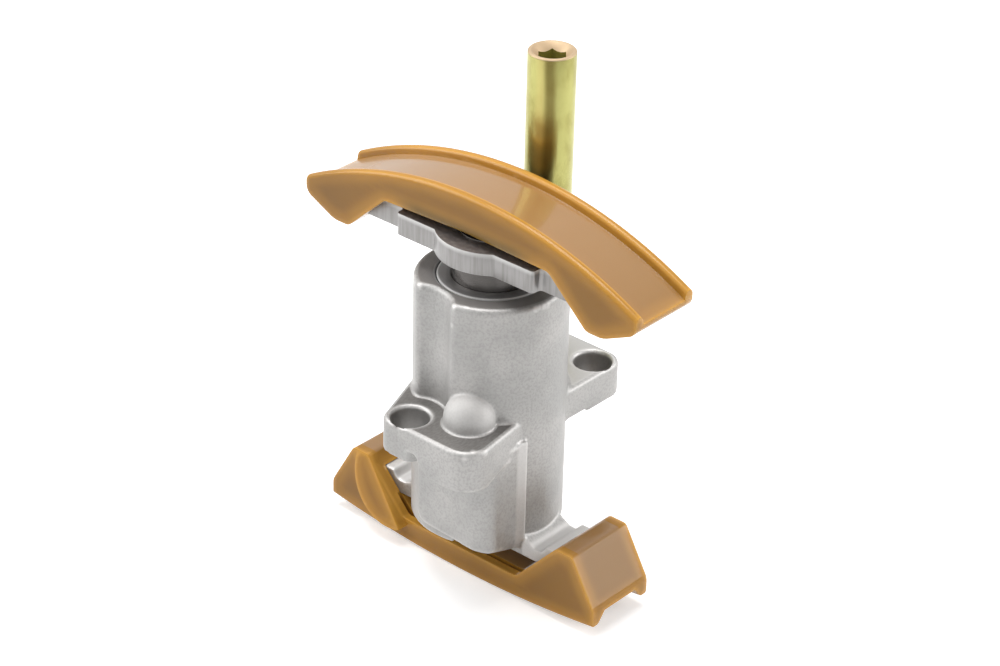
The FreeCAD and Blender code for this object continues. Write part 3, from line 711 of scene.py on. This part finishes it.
def makePlunger():
    size = plungerSize
    low, top, end = size["low"], size["top"], size["spigotTop"]
    beyond = meshFacts["beyond"]
    piece = addDrum("plungerPiston", size["radius"], low, top, sides=size["sides"])
    spigot = addDrum("spigot", size["spigot"], top - beyond, end, sides=size["sides"])
    combine(piece, spigot, "UNION")
    hollow = addDrum("hollow", size["bore"], low - beyond, size["crown"], sides=size["boreSides"])
    combine(piece, hollow, "DIFFERENCE")
    vent = addDrum("vent", size["vent"], *past(size["crown"], end), sides=size["ventSides"])
    combine(piece, vent, "DIFFERENCE")
    rims = ((size["radius"], top), (size["spigot"], end))
    roundEdges(piece, size["edge"], lambda mid, way: level(way) and any(
        near(mid.z, z) and near(mid.xy.length, radius) for radius, z in rims))
    settle(piece, plungerSteel, "piston", "plunger")


makeLiner()
makePlunger()
print("stage: liner and plunger")


# Carrier plate

plateSize = {"low": 33.4, "top": 37.5, "halfLength": 15.4, "halfWidth": 7.55, "tabLength": 25.5,
             "tabWidth": 5.55, "belly": 10.0, "blend": (1.26, 8), "corner": (0.7, 4), "tabCorner": (0.7, 3),
             "hole": 6.0, "sides": 128, "pillarX": -2.75, "pillarY": 17.35, "slot": 4.35, "slotSides": 64,
             "fork": 7.35, "forkRound": (1.0, 4), "edge": 0.2, "turn": 50}


def makePlate():
    size = plateSize
    z = (size["low"], size["top"])
    piece = addBox("carrierPlateForged", span(size["halfLength"]), span(size["halfWidth"]), z)
    combine(piece, addBox("tabs", span(size["tabLength"]), span(size["tabWidth"]), z), "UNION")
    combine(piece, addDrum("belly", size["belly"], *z, sides=size["sides"]), "UNION")
    meet = math.sqrt(size["belly"] ** 2 - size["halfWidth"] ** 2)
    reach = meshFacts["wideReach"]
    roundEdges(piece, size["blend"], lambda mid, way: upright(way) and near(abs(mid.x), meet, reach)
               and near(abs(mid.y), size["halfWidth"], reach))
    for x, rounding in (("halfLength", "corner"), ("tabLength", "tabCorner")):
        roundEdges(piece, size[rounding], lambda mid, way: upright(way) and near(abs(mid.x), size[x]))
    fork = addBox("fork", (size["pillarX"] - size["fork"], size["pillarX"] + size["fork"]),
                  (0, size["pillarY"]), z)
    roundEdges(fork, size["forkRound"], lambda mid, way: upright(way) and mid.y > 1)
    combine(piece, fork, "UNION")
    slot = addDrum("slot", size["slot"], *past(*z), size["pillarX"], size["pillarY"], size["slotSides"])
    combine(piece, slot, "DIFFERENCE")
    combine(piece, addDrum("hole", size["hole"], *past(*z), sides=size["sides"]), "DIFFERENCE")
    tidyMesh(piece)
    soften(piece, size["edge"], size["turn"])
    settle(piece, plateSteel, "piston", "carrier_plate")


makePlate()
print("stage: carrier plate")


# Guide pillar

pillarSize = {"place": (-2.75, 17.35), "radius": 4.25, "low": 6.5, "top": 63.7, "edge": (0.35, 3),
              "sides": 128, "flats": 4.7, "turn": -19.0, "socket": 5.0, "sink": 3.65, "sinkOver": 0.001,
              "thread": 3.0, "threadLow": 0.8, "threadSides": 64, "burr": 0.07, "burrTurn": 25}


def makePillar():
    size = pillarSize
    place, low, top = size["place"], size["low"], size["top"]
    beyond = meshFacts["beyond"]
    piece = addDrum("guidePillarPlated", size["radius"], low, top, *place, size["sides"])
    roundEdges(piece, size["edge"], lambda mid, way: level(way) and near(mid.z, top))
    thread = addDrum("thread", size["thread"], size["threadLow"], low + beyond, *place, size["threadSides"])
    combine(piece, thread, "UNION")
    corner = size["flats"] / math.sqrt(3)
    hexagon = addDrum("hexagon", corner, top - size["socket"], top + beyond, *place, 6, turn=size["turn"])
    combine(piece, hexagon, "DIFFERENCE")
    inner, over = size["flats"] / 2, size["sinkOver"]
    depth = size["sink"] - inner
    sink = addDrum("sink", inner, top - depth, top + over, *place, topRadius=size["sink"] + over)
    combine(piece, sink, "DIFFERENCE")
    tidyMesh(piece)
    soften(piece, size["burr"], size["burrTurn"])
    settle(piece, zinc, "block", "guide_pillar")


makePillar()
print("stage: guide pillar")


# Shoes

upperSize = {"steps": 110, "halfLength": 37.1, "halfWidth": 7.4, "apex": 46.1, "archR": 79.3,
             "channel": 1.35, "rim": 1.7, "rimRound": (0.85, 5), "innerRound": (0.6, 5), "floorHalf": 5.4,
             "tipLow": 33.9, "tipRound": (1.2, 5), "footOuter": 30.4, "footInner": 26.9, "footBottom": 30.75,
             "footRound": (0.9, 5), "hookX": 18.4, "hookZ": 38.65, "hookRound": (0.6, 4), "archZ": 39.25,
             "tabX": 25.65, "tabY": 5.7, "tabLow": 33.25, "tabTop": 37.55, "edge": 0.22,
             "hollows": ((-17.8, 40.0), (-8.6, 41.0), (0.6, 41.0), (9.8, 40.0)), "hollowLength": 8.0,
             "hollowSides": ((-5.8, -4.2), (-3.0, 3.0), (4.2, 5.8)), "spare": 2, "deep": 5}
lowerSize = {"steps": 48, "halfLength": 31.1, "halfWidth": 7.4, "apex": -28.79, "archR": 211.0,
             "channel": 2.1, "rim": 1.6, "rimRound": (0.5, 5), "innerRound": (0.4, 5), "floorHalf": 4.1,
             "endTop": -23.4, "endRound": (0.7, 4), "ridgeOuter": 25.9, "ridgeInner": 22.2,
             "ridgeTop": -14.35, "ridgeRound": (0.5, 4), "hollowX": 13.4, "rimTop": -24.0, "troughX": 16.4,
             "troughLow": -25.0, "padY": 4.9, "seat": -21.15, "gutterOver": 0.5, "pocketX": 22.15,
             "pocketY": 5.15, "pocketTop": -16.65, "noseR": 9.6, "noseX": -15.4, "noseZ": -16.0,
             "noseLean": 0.22, "noseDepth": 4.0, "noseBack": 0.5, "noseSides": 96, "edge": 0.2, "spare": 1,
             "deep": 6}
# for both shoes: how far the cutting tools reach, when an edge is sharp, and how its mark is stored
shoeMesh = {"over": 3, "above": 12, "halfOver": 10, "long": 40, "wide": 9,
            "sharp": 20, "turn": 40, "grid": 1.0, "fade": 3.2}


def cutRims(piece, size, centreZ, facing):
    # trims the piece to its arch, then sinks the running face between the two rims
    radius, channel, over = size["archR"], size["channel"], shoeMesh["over"]
    arc = (centreZ, facing, math.asin((size["halfLength"] + over) / radius), size["steps"])
    half = shoeMesh["halfOver"]
    trim = addSector("over", radius, radius + shoeMesh["above"], half, half, *arc)
    combine(piece, trim, "DIFFERENCE")
    floor, inner = size["floorHalf"], size["halfWidth"] - size["rim"]
    lean = floor + (inner - floor) * (over + channel) / channel
    sunk = addSector("channel", radius - channel, radius + over, floor, lean, *arc)
    combine(piece, sunk, "DIFFERENCE")


def rimTest(size, centreZ, y):  # edges along the arch at plus and minus y
    def test(mid, way):
        radius = (mid.xz - Vector((0, centreZ))).length
        return near(radius, size["archR"]) and near(abs(mid.y), y) and abs(way.y) < meshFacts["square"]
    return test


def slopeCut(piece, x1, z1, x2, z2, below):
    # cuts both ends off along the line from x1, z1 to x2, z2
    normal = Vector((z2 - z1, 0, x1 - x2)).normalized()
    if (normal.z > 0) == below:
        normal = -normal
    cutOff(piece, (x1, 0, z1), normal)
    cutOff(piece, (-x1, 0, z1), (-normal.x, 0, normal.z))


def roundRims(piece, size, centreZ):  # gives back the edges' points as they were before
    tidyMesh(piece)
    points = sharpPoints(piece, shoeMesh["sharp"])
    roundEdges(piece, size["rimRound"], rimTest(size, centreZ, size["halfWidth"]))
    roundEdges(piece, size["innerRound"], rimTest(size, centreZ, size["halfWidth"] - size["rim"]))
    return points


def finishShoe(piece, size, body, node, points):
    tidyMesh(piece)
    points += sharpPoints(piece, shoeMesh["sharp"])
    soften(piece, size["edge"], shoeMesh["turn"])
    grid(piece, shoeMesh["grid"])
    markEdges(piece, points, shoeMesh["fade"])
    settle(piece, caramel, body, node)


def makeUpperShoe():
    size = upperSize
    centreZ = size["apex"] - size["archR"]
    bottom = size["footBottom"]
    piece = addBox("upperShoeMoulded", span(size["halfLength"]), span(size["halfWidth"]),
                   (bottom, size["apex"] + size["spare"]))
    slopeCut(piece, size["halfLength"], size["tipLow"], size["footOuter"], bottom, True)
    valley = addBox("valley", span(shoeMesh["long"]), span(shoeMesh["wide"]),
                    (bottom - size["deep"], size["archZ"]))
    slopeCut(valley, size["footInner"], bottom, size["hookX"], size["hookZ"], False)
    slopeCut(valley, size["hookX"], size["hookZ"], 0, size["archZ"], False)
    combine(piece, valley, "DIFFERENCE")
    roundEdges(piece, size["tipRound"], acrossAt(size["halfLength"], size["tipLow"]))
    roundEdges(piece, size["footRound"], acrossAt(size["footOuter"], bottom))
    roundEdges(piece, size["hookRound"], acrossAt(size["footInner"], bottom))
    roundEdges(piece, size["hookRound"], acrossAt(size["hookX"], size["hookZ"]))
    cutRims(piece, size, centreZ, 0)
    points = roundRims(piece, size, centreZ)
    tabs = addBox("tabs", span(size["tabX"]), span(size["tabY"]), (size["tabLow"], size["tabTop"]))
    combine(piece, tabs, "DIFFERENCE")
    for x, top in size["hollows"]:
        for y in size["hollowSides"]:
            hollow = addBox("hollow", (x, x + size["hollowLength"]), y, (size["tabTop"], top))
            combine(piece, hollow, "DIFFERENCE")
    finishShoe(piece, size, "piston", "upper_shoe", points)


def makeNose(size):
    front, top = -size["halfWidth"], size["ridgeTop"]
    place = (size["noseX"], front, size["noseZ"])
    nose = addRoller("nose", size["noseR"], size["noseDepth"], place, size["noseSides"])
    cutOff(nose, (0, front + size["noseBack"], 0), (0, 1, 0))
    cutOff(nose, (0, 0, top), (0, 0, 1))
    run = Vector((-size["ridgeInner"] + size["hollowX"], 0, top - size["rimTop"]))
    cutOff(nose, (-size["hollowX"], 0, size["rimTop"]), Vector((run.z, 0, -run.x)).normalized())
    cutOff(nose, (0, front, top), Vector((0, -1, size["noseLean"])).normalized())
    return nose


def makeLowerShoe():
    size = lowerSize
    centreZ = size["apex"] + size["archR"]
    top, trough = size["ridgeTop"], span(size["troughX"])
    piece = addBox("lowerShoeMoulded", span(size["halfLength"]), span(size["halfWidth"]),
                   (size["apex"] - size["spare"], top))
    slopeCut(piece, size["halfLength"], size["endTop"], size["ridgeOuter"], top, False)
    valley = addBox("valley", span(shoeMesh["long"]), span(shoeMesh["wide"]),
                    (size["rimTop"], top + size["deep"]))
    slopeCut(valley, size["hollowX"], size["rimTop"], size["ridgeInner"], top, True)
    combine(piece, valley, "DIFFERENCE")
    for x, z in (("ridgeOuter", "ridgeTop"), ("ridgeInner", "ridgeTop"), ("hollowX", "rimTop")):
        roundEdges(piece, size["ridgeRound"], acrossAt(size[x], size[z]))
    roundEdges(piece, size["endRound"], acrossAt(size["halfLength"], size["endTop"]))
    cutRims(piece, size, centreZ, math.pi)
    combine(piece, makeNose(size), "UNION")
    points = roundRims(piece, size, centreZ)
    inner = size["halfWidth"] - size["rim"]
    combine(piece, addBox("trough", trough, span(inner), (size["seat"], top)), "DIFFERENCE")
    depth = (size["troughLow"], size["seat"] + size["gutterOver"])
    for gutter in ((-inner, -size["padY"]), (size["padY"], inner)):
        combine(piece, addBox("gutter", trough, gutter, depth), "DIFFERENCE")
    pocket = addBox("pocket", span(size["pocketX"]), span(size["pocketY"]), (size["seat"], size["pocketTop"]))
    combine(piece, pocket, "DIFFERENCE")
    finishShoe(piece, size, "block", "lower_shoe", points)


makeUpperShoe()
print("stage: upper shoe")
makeLowerShoe()
print("stage: lower shoe")


# Finishes of the CAD nodes, and the two springs

nodeFinish = {
    "retaining_ring": wire, "vent_disc": linerSteel, "filler": insert, "main_spring": wire,
    "ball_spring": wire, "valve_seat": linerSteel, "seat_seal": rubber, "valve_cage": plateSteel,
    "check_ball": linerSteel, "screen_ring": linerSteel, "feed_screen": plateSteel,
    "housing": cast, "liner": linerSteel, "plunger": plungerSteel, "carrier_plate": plateSteel,
    "guide_pillar": zinc, "upper_shoe": caramel, "lower_shoe": caramel,
}
for node, finish in nodeFinish.items():
    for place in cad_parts[node].material_slots:
        place.material = finish

springSize = {"lift": 0.0008, "seat": 0.0008, "smooth": 50}


def springCopy(node, name, body):
    return settle(copyOf(node, name), wire, body, node, angle=springSize["smooth"])


def makeSprings():  # the ball spring rides with the block; the main spring gets no body
    coil = springCopy("main_spring", "mainSpringCoil", None)
    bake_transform(coil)
    coil = springCopy("ball_spring", "ballSpringCoil", "block")
    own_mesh(coil)


makeSprings()
print("stage: springs")


# Floor, light and camera

stageLook = {"floor": -0.0289, "radius": 0.64, "sides": 96, "glow": 0.45, "pale": 0.80, "sky": 0.27}


def backdropRays(tree):  # 1 for rays that should see the white background
    rays = tree.node("ShaderNodeLightPath")
    camera, glossy, through = [Wire(tree, rays.outputs[name]) for name in
                               ("Is Camera Ray", "Is Glossy Ray", "Is Transmission Ray")]
    return camera.larger(glossy).larger(through)


def makeFloor():
    clearSelection()
    bpy.ops.mesh.primitive_circle_add(vertices=stageLook["sides"], radius=stageLook["radius"],
                                      fill_type="NGON", location=(0, 0, stageLook["floor"]))
    floor = named("floorSheet")
    applyPlace()
    r = Recipe("floorPaper")
    pale = stageLook["pale"]
    paper = r.put("ShaderNodeBsdfDiffuse", {}, {"Color": (pale, pale, pale, 1.0)})
    glow = r.put("ShaderNodeEmission", {}, {"Strength": backdropRays(r) * stageLook["glow"]})
    both = r.put("ShaderNodeAddShader", {}, {0: paper, 1: glow})
    r.tree.links.new(both.socket, r.tree.nodes["Material Output"].inputs["Surface"])
    floor.data.materials.append(r.material)


lampAim = (0, 0, 0.02)
lamps = [  # name, place, size, power
    ("leftLamp", (-0.54, -0.38, 0.40), 0.55, 3.8),
    ("rightLamp", (0.46, 0.48, 0.26), 0.45, 3.0),
    ("topLamp", (-0.10, 0.04, 0.80), 0.55, 6.4),
]


def makeLamps():
    for name, place, size, power in lamps:
        data = bpy.data.lights.new(name, "AREA")
        data.size = size
        data.energy = power
        lamp = bpy.data.objects.new(name, data)
        bpy.context.scene.collection.objects.link(lamp)
        lamp.location = place
        lamp.rotation_euler = (Vector(lampAim) - Vector(place)).to_track_quat("-Z", "Y").to_euler()


def makeSky():
    world = bpy.data.worlds.new("studioSky")
    bpy.context.scene.world = world
    world.use_nodes = True
    sky = Tree(world.node_tree)
    back = sky.tree.nodes["Background"]
    back.inputs["Color"].default_value = (1, 1, 1, 1)
    strength = backdropRays(sky) * (1 - stageLook["sky"]) + stageLook["sky"]
    sky.tree.links.new(strength.socket, back.inputs["Strength"])


# The camera as it was worked out from the photograph: focal length and width in pixels, angles in degrees,
# distance and target in millimetres.
cameraFacts = {"focal": 2874.377, "width": 1000.0, "sensor": 36.0, "turn": 40.672, "rise": 29.896,
               "roll": 1.480, "distance": 494.585, "target": (2.091, 0.0, 17.6), "nearest": 0.01}


def makeCamera():
    facts = cameraFacts
    turn, rise = math.radians(facts["turn"]), math.radians(facts["rise"])
    back = Vector((math.sin(turn) * math.cos(rise), -math.cos(turn) * math.cos(rise), math.sin(rise)))
    target = (Vector(facts["target"]) + Vector(axisShift)) / 1000
    data = bpy.data.cameras.new("photoCamera")
    data.sensor_fit = "HORIZONTAL"
    data.sensor_width = facts["sensor"]
    data.lens = facts["focal"] * facts["sensor"] / facts["width"]
    data.clip_start = facts["nearest"]
    camera = bpy.data.objects.new("photoCamera", data)
    bpy.context.scene.collection.objects.link(camera)
    roll = Matrix.Rotation(math.radians(facts["roll"]), 3, "Z")
    facing = (-back).to_track_quat("-Z", "Y").to_matrix() @ roll
    camera.matrix_world = Matrix.Translation(target + back * facts["distance"] / 1000) @ facing.to_4x4()
    bpy.context.scene.camera = camera


makeFloor()
makeLamps()
makeSky()
makeCamera()
bpy.context.scene.view_settings.view_transform = "Standard"
print("stage: floor, light and camera")
